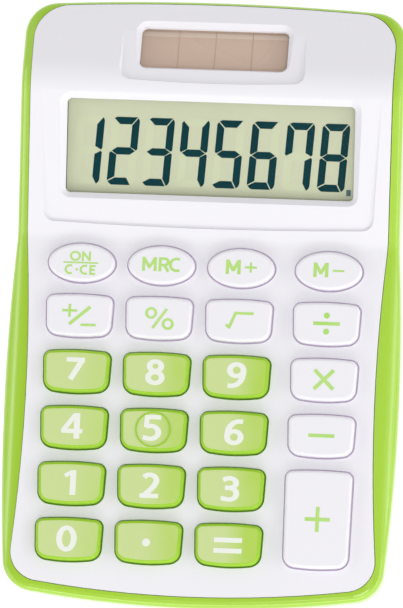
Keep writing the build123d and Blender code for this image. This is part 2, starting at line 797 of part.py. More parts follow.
# leaf over the cell and leaf beside it, each with a tail to the board
leaf = 0.25
with BuildPart() as battery_contact_negative:
    with BuildSketch(Plane.YZ.offset(cell_x - 1.5)):
        with BuildLine():
            leaf_line = FilletPolyline(
                (cell_y + 2.0, cell_top + leaf / 2 + 0.01),
                (cell_y - 3.0, cell_top + leaf / 2 + 0.5),
                (cell_y - 8.5, cell_top + leaf / 2 + 0.5),
                (board_rear_y - 0.6, board_top + leaf / 2 + 0.01),
                (board_rear_y - 3.0, board_top + leaf / 2 + 0.01),
                radius=0.5,
            )
            offset(leaf_line, amount=leaf / 2)
        make_face()
    extrude(amount=3.0)
save(battery_contact_negative.part, "battery_contact_negative")

with BuildPart() as battery_contact_positive:
    with BuildSketch(Plane.YZ.offset(cell_x + 2.6)):
        with BuildLine():
            side_y = cell_y - (cell_radius**2 - 2.6**2) ** 0.5 - leaf / 2 - 0.02
            side_line = FilletPolyline(
                (side_y, block_top + 0.1),
                (side_y, cell_top + 0.6),
                (side_y - 3.0, cell_top + 0.6),
                (board_rear_y - 0.6, board_top + leaf / 2 + 0.01),
                (board_rear_y - 3.0, board_top + leaf / 2 + 0.01),
                radius=0.5,
            )
            offset(side_line, amount=leaf / 2)
        make_face()
    extrude(amount=1.4)
save(battery_contact_positive.part, "battery_contact_positive")


def solar_lead(x):
    """Insulated wire from the back of the solar cell down to the board."""
    wire_radius = 0.45
    back = face_plane(solar_y, solar_tilt, solar_cell_depth + solar_cell_thickness)
    start = back.from_local_coords((x, 0, 0))
    away = back.from_local_coords((x, 0, -3.0))
    with BuildPart() as lead:
        with BuildLine():
            FilletPolyline(
                start,
                away,
                (x, 41.5, 7.6),
                (x, 35.0, 7.2),
                (x, 28.0, 7.0),
                (x, 28.0, board_top),
                radius=(1.6, 2.5, 2.5, 1.3),
            )
        with BuildSketch(back):
            with Locations((x, 0)):
                Circle(wire_radius)
        sweep()
    return lead.part


save(solar_lead(-6.0), "solar_lead_positive")
save(solar_lead(-9.5), "solar_lead_negative")
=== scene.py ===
import json
import math
import bpy
from mathutils import Matrix, Vector


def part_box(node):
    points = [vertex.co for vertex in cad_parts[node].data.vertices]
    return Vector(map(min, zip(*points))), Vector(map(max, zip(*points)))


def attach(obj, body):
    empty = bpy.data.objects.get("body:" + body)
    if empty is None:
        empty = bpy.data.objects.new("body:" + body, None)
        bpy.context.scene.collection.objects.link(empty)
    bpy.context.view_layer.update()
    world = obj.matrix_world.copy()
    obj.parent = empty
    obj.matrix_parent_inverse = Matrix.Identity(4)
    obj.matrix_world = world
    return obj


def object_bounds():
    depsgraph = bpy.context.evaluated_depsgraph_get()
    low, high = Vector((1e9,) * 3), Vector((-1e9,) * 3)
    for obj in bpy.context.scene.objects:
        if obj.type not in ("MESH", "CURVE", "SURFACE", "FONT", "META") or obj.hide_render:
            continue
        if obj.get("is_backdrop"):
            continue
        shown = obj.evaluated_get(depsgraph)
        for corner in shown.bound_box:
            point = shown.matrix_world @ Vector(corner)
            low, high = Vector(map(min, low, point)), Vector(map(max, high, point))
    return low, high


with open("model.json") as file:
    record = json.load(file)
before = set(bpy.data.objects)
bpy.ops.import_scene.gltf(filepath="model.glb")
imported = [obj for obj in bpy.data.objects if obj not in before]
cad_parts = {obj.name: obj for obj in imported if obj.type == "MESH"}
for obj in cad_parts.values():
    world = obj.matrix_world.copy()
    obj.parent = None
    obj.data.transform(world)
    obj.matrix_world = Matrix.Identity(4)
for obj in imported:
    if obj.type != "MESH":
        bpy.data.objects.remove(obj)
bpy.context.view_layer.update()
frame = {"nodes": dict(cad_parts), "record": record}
mm = 0.001


def tidySelection():
    if bpy.context.mode != "OBJECT":
        bpy.ops.object.mode_set(mode="OBJECT")
    bpy.ops.object.select_all(action="DESELECT")


# ---- camera and lights ----
cameraSet = {
    "leanRight": 0.111,  # sideways part of the unit vector from the aim to the camera
    "leanFront": 0.119,  # its part towards the user
    "roll": math.radians(2.78),
    "distance": 2.4,
    "tall": 120.2 * mm,  # height of the picture at the object
    "sensor": 36.0,
    "clipEnd": 20.0,
    "aimKey": "key_5",
    "aimShift": (9.60 * mm, 24.82 * mm),  # from that key to the middle of the picture
}


def addCamera():
    s = cameraSet
    back = Vector((s["leanRight"], -s["leanFront"], 0.0))
    back.z = math.sqrt(1 - back.length_squared)
    level = Vector((0, 1, 0)).cross(back).normalized()
    upright = back.cross(level)
    right = level * math.cos(s["roll"]) + upright * math.sin(s["roll"])
    up = back.cross(right)
    low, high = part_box(s["aimKey"])
    aim = (low + high) / 2
    aim.z = high.z
    aim += right * s["aimShift"][0] + up * s["aimShift"][1]
    turn = Matrix((right, up, back)).transposed().to_4x4()
    bpy.ops.object.camera_add(location=aim + back * s["distance"], rotation=turn.to_euler())
    camera = bpy.context.object
    camera.data.sensor_width = s["sensor"]
    camera.data.lens = s["sensor"] * s["distance"] / s["tall"]
    camera.data.clip_end = s["clipEnd"]
    bpy.context.scene.camera = camera


lightSet = {
    "overhead_softbox": {"at": (0.25, -0.35, 1.25), "size": (0.6, 0.6), "power": 3.9},
    "left_softbox": {"at": (-1.0, -0.1, 0.52), "size": (1.2, 0.16), "power": 1.4},
    "right_softbox": {"at": (1.0, -0.1, 0.52), "size": (1.2, 0.16), "power": 1.25},
    "front_softbox": {"at": (0.1, -1.0, 0.52), "size": (1.1, 0.16), "power": 1.45},
}
# brightness of the studio by height above the horizon (sine of the angle)
skySteps = [(0.0, 0.45), (0.20, 0.92), (0.40, 1.32), (0.55, 1.08), (0.70, 0.46), (1.0, 0.37)]
skyFront = 0.35  # how much brighter the user's side is than the far side
skyRight = 0.22  # and the right side than the left


def addSky():
    world = bpy.data.worlds.new("studio")
    world.use_nodes = True
    nodes, links = world.node_tree.nodes, world.node_tree.links
    where = nodes.new("ShaderNodeTexCoord")
    split = nodes.new("ShaderNodeSeparateXYZ")
    ramp = nodes.new("ShaderNodeValToRGB")
    while len(ramp.color_ramp.elements) < len(skySteps):
        ramp.color_ramp.elements.new(0.5)
    for stop, (height, level) in zip(ramp.color_ramp.elements, skySteps):
        stop.position = height
        stop.color = (level, level, level, 1)
    lean = nodes.new("ShaderNodeMapRange")
    lean.inputs["From Min"].default_value = -1.0
    lean.inputs["To Min"].default_value = 1 + skyFront
    lean.inputs["To Max"].default_value = 1 - skyFront
    sway = nodes.new("ShaderNodeMapRange")
    sway.inputs["From Min"].default_value = -1.0
    sway.inputs["To Min"].default_value = 1 - skyRight
    sway.inputs["To Max"].default_value = 1 + skyRight
    both = nodes.new("ShaderNodeMath")
    both.operation = "MULTIPLY"
    background = nodes["Background"]
    links.new(split.outputs["X"], sway.inputs["Value"])
    links.new(lean.outputs["Result"], both.inputs[0])
    links.new(sway.outputs["Result"], both.inputs[1])
    links.new(where.outputs["Generated"], split.inputs["Vector"])
    links.new(split.outputs["Z"], ramp.inputs["Fac"])
    links.new(split.outputs["Y"], lean.inputs["Value"])
    links.new(ramp.outputs["Color"], background.inputs["Color"])
    links.new(both.outputs[0], background.inputs["Strength"])
    bpy.context.scene.world = world
    bpy.context.scene.view_settings.view_transform = "Standard"


def addLights():
    for name, s in lightSet.items():
        spot = Vector(s["at"])
        facing = (-spot).to_track_quat("-Z", "Y")
        bpy.ops.object.light_add(type="AREA", location=spot, rotation=facing.to_euler())
        light = bpy.context.object
        light.name = name
        light.data.shape = "RECTANGLE"
        light.data.size, light.data.size_y = s["size"]
        light.data.energy = s["power"]


addCamera()
addLights()
addSky()
print("camera and lights placed")


# ---- shader groups shared by the finishes ----
def newGroup(name, inputs, outputs):
    group = bpy.data.node_groups.new(name, "ShaderNodeTree")
    for label, kind, value in inputs:
        socket = group.interface.new_socket(label, in_out="INPUT", socket_type=kind)
        socket.default_value = value
    for label, kind in outputs:
        group.interface.new_socket(label, in_out="OUTPUT", socket_type=kind)
    return group


def makeMouldedGrain():
    # fine moulded texture with a slow drift of shade and gloss
    group = newGroup(
        "mouldedGrain",
        [
            ("Colour", "NodeSocketColor", (0.8, 0.8, 0.8, 1)),
            ("Shade Colour", "NodeSocketColor", (0.7, 0.7, 0.7, 1)),
            ("Shade Amount", "NodeSocketFloat", 0.2),
            ("Speckle", "NodeSocketFloat", 0.0),
            ("Fine Scale", "NodeSocketFloat", 2500.0),
            ("Broad Scale", "NodeSocketFloat", 40.0),
            ("Rough Low", "NodeSocketFloat", 0.35),
            ("Rough High", "NodeSocketFloat", 0.45),
        ],
        [("Colour", "NodeSocketColor"), ("Roughness", "NodeSocketFloat"), ("Height", "NodeSocketFloat")],
    )
    nodes, links = group.nodes, group.links
    given = nodes.new("NodeGroupInput")
    out = nodes.new("NodeGroupOutput")
    where = nodes.new("ShaderNodeTexCoord")
    fine = nodes.new("ShaderNodeTexNoise")
    fine.inputs["Detail"].default_value = 2.0
    broad = nodes.new("ShaderNodeTexNoise")
    broad.inputs["Detail"].default_value = 1.0
    links.new(where.outputs["Object"], fine.inputs["Vector"])
    links.new(where.outputs["Object"], broad.inputs["Vector"])
    links.new(given.outputs["Fine Scale"], fine.inputs["Scale"])
    links.new(given.outputs["Broad Scale"], broad.inputs["Scale"])
    share = nodes.new("ShaderNodeMath")
    share.operation = "MULTIPLY"
    links.new(broad.outputs["Fac"], share.inputs[0])
    links.new(given.outputs["Shade Amount"], share.inputs[1])
    speck = nodes.new("ShaderNodeMath")
    speck.operation = "MULTIPLY_ADD"
    links.new(fine.outputs["Fac"], speck.inputs[0])
    links.new(given.outputs["Speckle"], speck.inputs[1])
    links.new(share.outputs[0], speck.inputs[2])
    blend = nodes.new("ShaderNodeMix")
    blend.data_type = "RGBA"
    links.new(speck.outputs[0], blend.inputs["Factor"])
    links.new(given.outputs["Colour"], blend.inputs["A"])
    links.new(given.outputs["Shade Colour"], blend.inputs["B"])
    gloss = nodes.new("ShaderNodeMapRange")
    links.new(broad.outputs["Fac"], gloss.inputs["Value"])
    gloss.inputs["From Min"].default_value = 0.3
    gloss.inputs["From Max"].default_value = 0.7
    links.new(given.outputs["Rough Low"], gloss.inputs["To Min"])
    links.new(given.outputs["Rough High"], gloss.inputs["To Max"])
    links.new(blend.outputs["Result"], out.inputs["Colour"])
    links.new(gloss.outputs["Result"], out.inputs["Roughness"])
    links.new(fine.outputs["Fac"], out.inputs["Height"])
    return group


mouldedGrain = makeMouldedGrain()

keySet = {
    "top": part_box("key_7")[1].z,
    "proud": 1.6 * mm,  # height of a cap over the plate round it
    "rise": 0.006 * mm,  # the flat top, which takes the painted sheen, begins this much under its full height
    "ringLow": 0.03 * mm,  # the raised ring takes the edge colour, without painted sheen, between these two heights
    "ringHigh": 0.06 * mm,
    "sheenFadeFrom": 0.40,  # shares of the pitch over which the painted sheen on a cap fades towards its right
    "sheenFadeTo": 0.80,
    "fadeFrom": -26 * mm,  # and the stretch of the keyboard over which that fading of the painted sheen grows stronger
    "fadeTo": 9 * mm,
    "fadeLeast": 0.3,
    "patchScale": 120.0,
    "pitch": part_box("key_8")[1].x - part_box("key_7")[1].x,
    "firstX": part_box("key_7")[0].x - (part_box("key_8")[0].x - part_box("key_7")[1].x) / 2,
}


def makeCapSheen():
    # painted sheen: a pale haze painted on the flat top of a cap in place of a reflection, fading towards its
    # right side and absent at the edges
    group = newGroup(
        "capSheen",
        [
            ("Edge Colour", "NodeSocketColor", (0.3, 0.6, 0.03, 1)),
            ("Sheen Colour", "NodeSocketColor", (0.6, 0.7, 0.3, 1)),
            ("Weak Sheen Colour", "NodeSocketColor", (0.5, 0.7, 0.1, 1)),
        ],
        [("Colour", "NodeSocketColor")],
    )
    nodes, links = group.nodes, group.links
    given = nodes.new("NodeGroupInput")
    out = nodes.new("NodeGroupOutput")
    where = nodes.new("ShaderNodeTexCoord")
    split = nodes.new("ShaderNodeSeparateXYZ")
    links.new(where.outputs["Object"], split.inputs["Vector"])

    def smooth(source, low, high, first=0.0, last=1.0):
        step = nodes.new("ShaderNodeMapRange")
        step.interpolation_type = "SMOOTHSTEP"
        step.inputs["From Min"].default_value = low
        step.inputs["From Max"].default_value = high
        step.inputs["To Min"].default_value = first
        step.inputs["To Max"].default_value = last
        links.new(source, step.inputs["Value"])
        return step.outputs["Result"]

    def blend(share, under, over):
        mix = nodes.new("ShaderNodeMix")
        mix.data_type = "RGBA"
        links.new(share, mix.inputs["Factor"])
        links.new(under, mix.inputs["A"])
        links.new(over, mix.inputs["B"])
        return mix.outputs["Result"]

    def maths(operation, first, second):
        step = nodes.new("ShaderNodeMath")
        step.operation = operation
        for socket, value in zip(step.inputs, (first, second)):
            if isinstance(value, float):
                socket.default_value = value
            else:
                links.new(value, socket)
        return step.outputs[0]

    s = keySet
    fromFirst = maths("SUBTRACT", split.outputs["X"], s["firstX"])
    along = maths("FRACT", maths("DIVIDE", fromFirst, s["pitch"]), 0.0)
    fade = smooth(split.outputs["X"], s["fadeFrom"], s["fadeTo"], s["fadeLeast"])
    sheenLoss = maths("MULTIPLY", smooth(along, s["sheenFadeFrom"], s["sheenFadeTo"]), fade)
    patch = nodes.new("ShaderNodeTexNoise")
    patch.inputs["Scale"].default_value = s["patchScale"]
    links.new(where.outputs["Object"], patch.inputs["Vector"])
    sheenLoss = maths("MULTIPLY", sheenLoss, smooth(patch.outputs["Fac"], 0.2, 0.7, 0.7, 1.1))
    top = blend(sheenLoss, given.outputs["Sheen Colour"], given.outputs["Weak Sheen Colour"])
    flat = smooth(split.outputs["Z"], s["top"] - s["rise"], s["top"] - s["rise"] / 4)
    raised = smooth(split.outputs["Z"], s["top"] + s["ringLow"], s["top"] + s["ringHigh"])
    painted = blend(flat, given.outputs["Edge Colour"], top)
    links.new(blend(raised, painted, given.outputs["Edge Colour"]), out.inputs["Colour"])
    return group


capSheen = makeCapSheen()


def makePaintedGapLight():
    # painted light: a faint glow in place of light reaching into the gaps round the keys; it grows down the
    # walls of the gaps and is full at Depth
    group = newGroup(
        "paintedGapLight",
        [("Glow Colour", "NodeSocketColor", (0, 0, 0, 1)), ("Depth", "NodeSocketFloat", 0.5 * mm)],
        [("Glow", "NodeSocketColor")],
    )
    nodes, links = group.nodes, group.links
    given = nodes.new("NodeGroupInput")
    out = nodes.new("NodeGroupOutput")
    where = nodes.new("ShaderNodeTexCoord")
    split = nodes.new("ShaderNodeSeparateXYZ")
    under = nodes.new("ShaderNodeMath")
    under.operation = "SUBTRACT"
    under.inputs[0].default_value = keySet["top"] - keySet["proud"]
    share = nodes.new("ShaderNodeMath")
    share.operation = "DIVIDE"
    share.use_clamp = True
    glow = nodes.new("ShaderNodeMix")
    glow.data_type = "RGBA"
    glow.inputs["A"].default_value = (0, 0, 0, 1)
    links.new(where.outputs["Object"], split.inputs["Vector"])
    links.new(split.outputs["Z"], under.inputs[1])
    links.new(under.outputs[0], share.inputs[0])
    links.new(given.outputs["Depth"], share.inputs[1])
    links.new(share.outputs[0], glow.inputs["Factor"])
    links.new(given.outputs["Glow Colour"], glow.inputs["B"])
    links.new(glow.outputs["Result"], out.inputs["Glow"])
    return group


paintedGapLight = makePaintedGapLight()


def rgba(colour):
    return (*colour, 1.0)


def plastic(name, s):
    material = bpy.data.materials.new(name)
    material.use_nodes = True
    nodes, links = material.node_tree.nodes, material.node_tree.links
    shader = nodes["Principled BSDF"]
    grain = nodes.new("ShaderNodeGroup")
    grain.node_tree = mouldedGrain
    grain.inputs["Colour"].default_value = rgba(s["colour"])
    grain.inputs["Shade Colour"].default_value = rgba(s.get("shade", s["colour"]))
    grain.inputs["Shade Amount"].default_value = s.get("shadeAmount", 0.3)
    grain.inputs["Speckle"].default_value = s.get("speckle", 0.15)
    grain.inputs["Fine Scale"].default_value = s.get("fine", 2500.0)
    grain.inputs["Broad Scale"].default_value = s.get("broad", 40.0)
    grain.inputs["Rough Low"].default_value, grain.inputs["Rough High"].default_value = s["rough"]
    bump = nodes.new("ShaderNodeBump")
    bump.inputs["Strength"].default_value = s.get("bump", 0.1)
    bump.inputs["Distance"].default_value = s.get("bumpDepth", 0.02 * mm)
    links.new(grain.outputs["Height"], bump.inputs["Height"])
    links.new(bump.outputs["Normal"], shader.inputs["Normal"])
    links.new(grain.outputs["Roughness"], shader.inputs["Roughness"])
    # painted sheen on the flat tops of the caps
    if "sheenColour" in s:
        cap = nodes.new("ShaderNodeGroup")
        cap.node_tree = capSheen
        cap.inputs["Sheen Colour"].default_value = rgba(s["sheenColour"])
        cap.inputs["Weak Sheen Colour"].default_value = rgba(s["weakSheenColour"])
        links.new(grain.outputs["Colour"], cap.inputs["Edge Colour"])
        links.new(cap.outputs["Colour"], shader.inputs["Base Color"])
    else:
        links.new(grain.outputs["Colour"], shader.inputs["Base Color"])
    # painted light: a glow that lifts the shade in the gaps round the keys
    if "paintedGapLight" in s:
        gap = nodes.new("ShaderNodeGroup")
        gap.node_tree = paintedGapLight
        gap.inputs["Glow Colour"].default_value = rgba(s["paintedGapLight"])
        links.new(gap.outputs["Glow"], shader.inputs["Emission Color"])
        shader.inputs["Emission Strength"].default_value = 1.0
    shader.inputs["Metallic"].default_value = s.get("metal", 0.0)
    shader.inputs["Specular IOR Level"].default_value = s.get("specular", 0.5)
    shader.inputs["Coat Weight"].default_value = s.get("coat", 0.0)
    shader.inputs["Coat Roughness"].default_value = s.get("coatRough", 0.2)
    return material


finishes = {
    "white_plastic": {
        "colour": (0.875, 0.862, 0.905), "shade": (0.80, 0.79, 0.84), "shadeAmount": 0.2, "speckle": 0.2,
        "rough": (0.36, 0.44), "fine": 2600.0, "bump": 0.25, "specular": 0.35,
        # painted light in the gaps round the keys
        "paintedGapLight": (0.055, 0.042, 0.060),
    },
    "green_plastic": {
        "colour": (0.380, 0.655, 0.009), "shade": (0.32, 0.60, 0.007), "shadeAmount": 0.3, "speckle": 0.1,
        "rough": (0.30, 0.36), "fine": 2600.0, "bump": 0.2, "specular": 0.7, "coat": 1.0, "coatRough": 0.16,
    },
    "white_key": {
        "colour": (0.875, 0.862, 0.90), "shade": (0.82, 0.81, 0.85), "shadeAmount": 0.2, "speckle": 0.2,
        "rough": (0.33, 0.42), "fine": 2800.0, "bump": 0.2, "specular": 0.4,
        # painted light in the gaps round the keys
        "paintedGapLight": (0.085, 0.062, 0.090),
    },
    "green_key": {
        "colour": (0.35, 0.63, 0.020), "shade": (0.28, 0.57, 0.015), "shadeAmount": 0.3,
        # painted sheen: a pale top colour, and a weaker one towards each cap's right, in place of a
        # reflection
        "sheenColour": (0.590, 0.715, 0.300), "weakSheenColour": (0.450, 0.660, 0.095),
        "rough": (0.36, 0.46), "fine": 2800.0, "bump": 0.35, "specular": 0.4,
        # painted light in the gaps round the keys
        "paintedGapLight": (0.010, 0.035, 0.001),
    },
    "lcd_glass": {
        "colour": (0.730, 0.745, 0.525), "shade": (0.55, 0.61, 0.42), "shadeAmount": 0.5, "speckle": 0.35,
        "rough": (0.3, 0.4), "fine": 3200.0, "broad": 45.0, "bump": 0.1, "specular": 0.3,
    },
    "lcd_reflector": {"colour": (0.5, 0.53, 0.4), "rough": (0.5, 0.6)},
    "black_foam": {"colour": (0.02, 0.02, 0.02), "rough": (0.85, 0.95), "fine": 1500.0, "bump": 0.8},
    "lcd_flex": {"colour": (0.55, 0.33, 0.12), "shade": (0.4, 0.22, 0.07), "rough": (0.35, 0.45)},
    "solar_cell": {
        "colour": (0.770, 0.585, 0.465), "shade": (0.69, 0.51, 0.41), "shadeAmount": 0.5,
        "rough": (0.25, 0.35), "fine": 2600.0, "bump": 0.05,
    },
    "board": {"colour": (0.42, 0.27, 0.09), "shade": (0.3, 0.18, 0.05), "rough": (0.5, 0.65)},
    "carbon": {"colour": (0.015, 0.015, 0.016), "rough": (0.5, 0.6)},
    "black_epoxy": {"colour": (0.01, 0.01, 0.011), "rough": (0.2, 0.35), "broad": 300.0},
    "capacitor_sleeve": {"colour": (0.02, 0.03, 0.16), "rough": (0.25, 0.35)},
    "resistor_body": {"colour": (0.55, 0.36, 0.17), "rough": (0.3, 0.4)},
    "diode_glass": {"colour": (0.6, 0.18, 0.05), "rough": (0.15, 0.25)},
    "silicone": {"colour": (0.72, 0.72, 0.7), "shade": (0.62, 0.62, 0.6), "rough": (0.55, 0.7)},
    "cell_steel": {"colour": (0.62, 0.62, 0.61), "rough": (0.25, 0.4), "metal": 1.0, "fine": 900.0},
    "contact_metal": {"colour": (0.68, 0.67, 0.64), "rough": (0.2, 0.35), "metal": 1.0},
    "screw_steel": {"colour": (0.5, 0.5, 0.52), "rough": (0.3, 0.45), "metal": 1.0, "fine": 1800.0},
    "foot_rubber": {
        "colour": (0.32, 0.32, 0.33), "shade": (0.26, 0.26, 0.27), "rough": (0.75, 0.9), "bump": 0.4,
    },
    "lead_red": {"colour": (0.5, 0.02, 0.015), "rough": (0.35, 0.45)},
    "lead_black": {"colour": (0.015, 0.015, 0.015), "rough": (0.35, 0.45)},
    "legend_white": {"colour": (0.84, 0.87, 0.80), "rough": (0.45, 0.55), "bump": 0.1},
    "legend_green": {
        "colour": (0.36, 0.69, 0.080), "shade": (0.56, 0.77, 0.29), "shadeAmount": 0.9,
        "rough": (0.45, 0.55), "bump": 0.1, "broad": 110.0,
    },
    "segment_ink": {
        "colour": (0.002, 0.038, 0.046), "shade": (0.004, 0.055, 0.064), "shadeAmount": 0.6,
        "rough": (0.35, 0.45), "broad": 260.0, "specular": 0.05,
    },
    "segment_ghost": {"colour": (0.665, 0.715, 0.485), "rough": (0.35, 0.45), "specular": 0.3},
    "segment_point": {"colour": (0.06, 0.13, 0.14), "rough": (0.35, 0.45)},
    "window_print": {"colour": (0.06, 0.045, 0.03), "rough": (0.4, 0.5)},
    "cell_line": {"colour": (0.58, 0.43, 0.34), "rough": (0.3, 0.4)},
    "cell_strip": {"colour": (0.85, 0.69, 0.57), "rough": (0.3, 0.4)},
}
made = {name: plastic(name, s) for name, s in finishes.items()}


windowSet = {"colour": (0.01, 0.01, 0.01), "alpha": 0.03, "haze": 90.0, "rough": (0.04, 0.09)}


def clearWindow():
    s = windowSet
    material = bpy.data.materials.new("clear_window")
    material.use_nodes = True
    nodes, links = material.node_tree.nodes, material.node_tree.links
    shader = nodes["Principled BSDF"]
    shader.inputs["Base Color"].default_value = rgba(s["colour"])
    shader.inputs["Alpha"].default_value = s["alpha"]
    where = nodes.new("ShaderNodeTexCoord")
    haze = nodes.new("ShaderNodeTexNoise")
    haze.inputs["Scale"].default_value = s["haze"]
    spread = nodes.new("ShaderNodeMapRange")
    spread.inputs["To Min"].default_value, spread.inputs["To Max"].default_value = s["rough"]
    links.new(where.outputs["Object"], haze.inputs["Vector"])
    links.new(haze.outputs["Fac"], spread.inputs["Value"])
    links.new(spread.outputs["Result"], shader.inputs["Roughness"])
    return material


made["clear_window"] = clearWindow()

slotOf = {s["node"]: s["material_slot"] for s in frame["record"]["subparts"]}
for name, node in frame["nodes"].items():
    node.data.materials.clear()
    node.data.materials.append(made[slotOf[name]])
print("CAD parts finished:", len(slotOf))


# ---- making of flat printed pieces ----
printThick = 0.03 * mm
printStep = 0.003 * mm  # strokes that cross end at slightly different heights
mitreLeast = 0.6  # keeps a stroke from growing too wide at a sharp turn
def flatShape(points, thick):
    tidySelection()
    bpy.ops.mesh.primitive_circle_add(vertices=len(points), radius=1.0, fill_type="NGON")
    piece = bpy.context.object
    for vertex, (x, y) in zip(piece.data.vertices, points):
        vertex.co = (x, y, 0)
    bpy.ops.object.mode_set(mode="EDIT")
    bpy.ops.mesh.select_all(action="SELECT")
    bpy.ops.mesh.extrude_region_move(TRANSFORM_OT_translate={"value": (0, 0, thick)})
    bpy.ops.mesh.select_all(action="SELECT")
    bpy.ops.mesh.normals_make_consistent(inside=False)
    bpy.ops.object.mode_set(mode="OBJECT")
    return piece


def stroke(path, pen, level=0):
    # a band along a path; pen is its width across upright and across level runs
    tidySelection()
    count = len(path)
    closed = path[0] == path[-1]
    bpy.ops.mesh.primitive_grid_add(x_subdivisions=count - 1, y_subdivisions=1, size=1.0)
    piece = bpy.context.object
    points = [Vector(p) for p in path]
    for i in range(count):
        before = points[i] - points[i - 1] if i else None
        after = points[i + 1] - points[i] if i < count - 1 else None
        if closed and before is None:
            before = points[0] - points[-2]
        if closed and after is None:
            after = points[1] - points[0]
        before = before or after
        after = after or before
        sides = [Vector((-way.y, way.x)).normalized() for way in (before, after)]
        middle = (sides[0] + sides[1]).normalized()
        half = math.hypot(middle.x * pen[0], middle.y * pen[1]) / 2
        half /= max(middle.dot(sides[0]), mitreLeast)
        for index, way in ((i, -1), (count + i, 1)):
            spot = points[i] + middle * half * way
            piece.data.vertices[index].co = (spot.x, spot.y, 0)
    bpy.ops.object.mode_set(mode="EDIT")
    bpy.ops.mesh.select_all(action="SELECT")
    if closed:
        bpy.ops.mesh.remove_doubles(threshold=1e-7)
    thick = printThick + level * printStep
    bpy.ops.mesh.extrude_region_move(TRANSFORM_OT_translate={"value": (0, 0, thick)})
    bpy.ops.mesh.select_all(action="SELECT")
    bpy.ops.mesh.normals_make_consistent(inside=False)
    bpy.ops.object.mode_set(mode="OBJECT")
    return piece


def arc(centre, radii, start, end, steps=14):
    angles = [math.radians(start + (end - start) * i / steps) for i in range(steps + 1)]
    return [(centre[0] + radii[0] * math.cos(a), centre[1] + radii[1] * math.sin(a)) for a in angles]


def ring(centre, radii, steps=32):
    points = arc(centre, radii, 0, 360, steps)
    return points[:-1] + points[:1]


def bar(centre, length, width, angle=0.0):
    along = Vector((math.cos(math.radians(angle)), math.sin(math.radians(angle)))) * length / 2
    return {"path": [tuple(Vector(centre) - along), tuple(Vector(centre) + along)], "pen": (width, width)}


def dot(centre, radius):
    return {"path": ring(centre, (radius / 2, radius / 2), 24), "pen": (radius, radius)}


def drawn(strokes, pen, shift=(0.0, 0.0), scale=(1.0, 1.0)):
    # each stroke is a path in millimetres, or a path with its own pen
    pieces = []
    for level, item in enumerate(strokes):
        path = item["path"] if isinstance(item, dict) else item
        width = item["pen"] if isinstance(item, dict) else pen
        points = [((x * scale[0] + shift[0]) * mm, (y * scale[1] + shift[1]) * mm) for x, y in path]
        pieces.append(stroke(points, (width[0] * mm, width[1] * mm), level))
    return pieces


def joined(pieces, name):
    tidySelection()
    for piece in pieces:
        piece.select_set(True)
    bpy.context.view_layer.objects.active = pieces[0]
    if len(pieces) > 1:
        bpy.ops.object.join()
    piece = bpy.context.object
    piece.name = name
    piece.data.name = name
    return piece


def place(piece, matrix, body, finish):
    piece.data.transform(matrix)
    piece.data.materials.clear()
    piece.data.materials.append(made[finish])
    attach(piece, body)


# ---- key legends ----
digitPen = (1.18, 0.88)
letterPen = (0.58, 0.5)
heavyPen = (0.66, 0.55)
sixStem = [
    (-1.35, -1.0), (-1.33, -0.3), (-1.18, 0.5), (-0.85, 1.15),
    (-0.3, 1.75), (0.4, 2.08), (1.0, 2.16), (1.7, 2.08),
]
digits = {
    "0": [ring((0, 0), (1.46, 2.16))],
    "1": [[(0.6, -2.47), (0.6, 2.47)], {"path": [(-1.05, 1.3), (0.4, 2.12)], "pen": (0.9, 0.8)}],
    "2": [
        arc((0.0, 1.0), (1.33, 1.12), 150, -20) + [(0.85, -0.1), (0.1, -0.95), (-1.0, -1.95)],
        [(-1.93, -2.07), (1.8, -2.07)],
    ],
    "3": [
        [(-1.4, 1.72)] + arc((-0.15, 1.17), (1.35, 0.95), 115, -90),
        [(-1.0, 0.2), (0.0, 0.2)],
        arc((-0.1, -0.98), (1.43, 1.15), 90, -105) + [(-1.75, -1.85)],
    ],
    "4": [
        [(1.0, -2.55), (1.0, 2.55)],
        [(-2.1, -1.03), (2.15, -1.03)],
        {"path": [(-1.68, -0.9), (0.62, 2.2)], "pen": (0.95, 0.95)},
    ],
    "5": [
        [(-1.5, 2.17), (1.77, 2.17)],
        {"path": [(-1.02, 2.5), (-1.12, 0.1)], "pen": (1.0, 1.0)},
        [(-1.15, 0.3)] + arc((-0.25, -0.87), (1.55, 1.28), 105, -105) + [(-1.75, -1.85)],
    ],
    "6": [ring((0, -1.0), (1.35, 1.16)), sixStem],
    "7": [[(-1.85, 1.8), (1.85, 1.8)], {"path": [(1.3, 1.75), (-0.95, -2.15)], "pen": (1.15, 1.0)}],
    "8": [ring((0, 1.2), (1.16, 0.94)), ring((0, -1.07), (1.36, 1.07))],
    "9": [ring((0, 1.0), (1.35, 1.16)), [(-x, -y) for x, y in sixStem]],
}
letters = {
    "M": [
        [(-1.15, -1.4), (-1.15, 1.4)],
        [(1.15, -1.4), (1.15, 1.4)],
        [(-1.08, 1.2), (0.05, -0.75)],
        [(1.08, 1.2), (-0.05, -0.75)],
    ],
    "R": [
        [(-0.8, -1.4), (-0.8, 1.4)],
        [(-0.8, 1.15), (0.1, 1.15)] + arc((0.15, 0.5), (0.65, 0.65), 90, -90, 10) + [(-0.8, -0.15)],
        [(0.05, -0.15), (0.9, -1.4)],
    ],
    "C": [arc((0.35, 0), (1.25, 1.18), 62, 298, 18)],
    "O": [ring((0, 0), (1.25, 1.18))],
    "N": [[(-0.95, -1.4), (-0.95, 1.4)], [(-0.95, 1.2), (0.95, -1.2)], [(0.95, -1.4), (0.95, 1.4)]],
    "E": [[(0.75, 1.15), (-0.7, 1.15), (-0.7, -1.15), (0.75, -1.15)], [(-0.7, 0.03), (0.6, 0.03)]],
}


def word(parts, pen, scale):
    # letters of one line, each with the place of its middle
    pieces = []
    for letter, x, y in parts:
        pieces += drawn(letters[letter], pen, (x, y), scale)
    return pieces


def plusShape(centre, size, width):
    return [bar(centre, size[0], width), bar(centre, size[1], width, 90)]


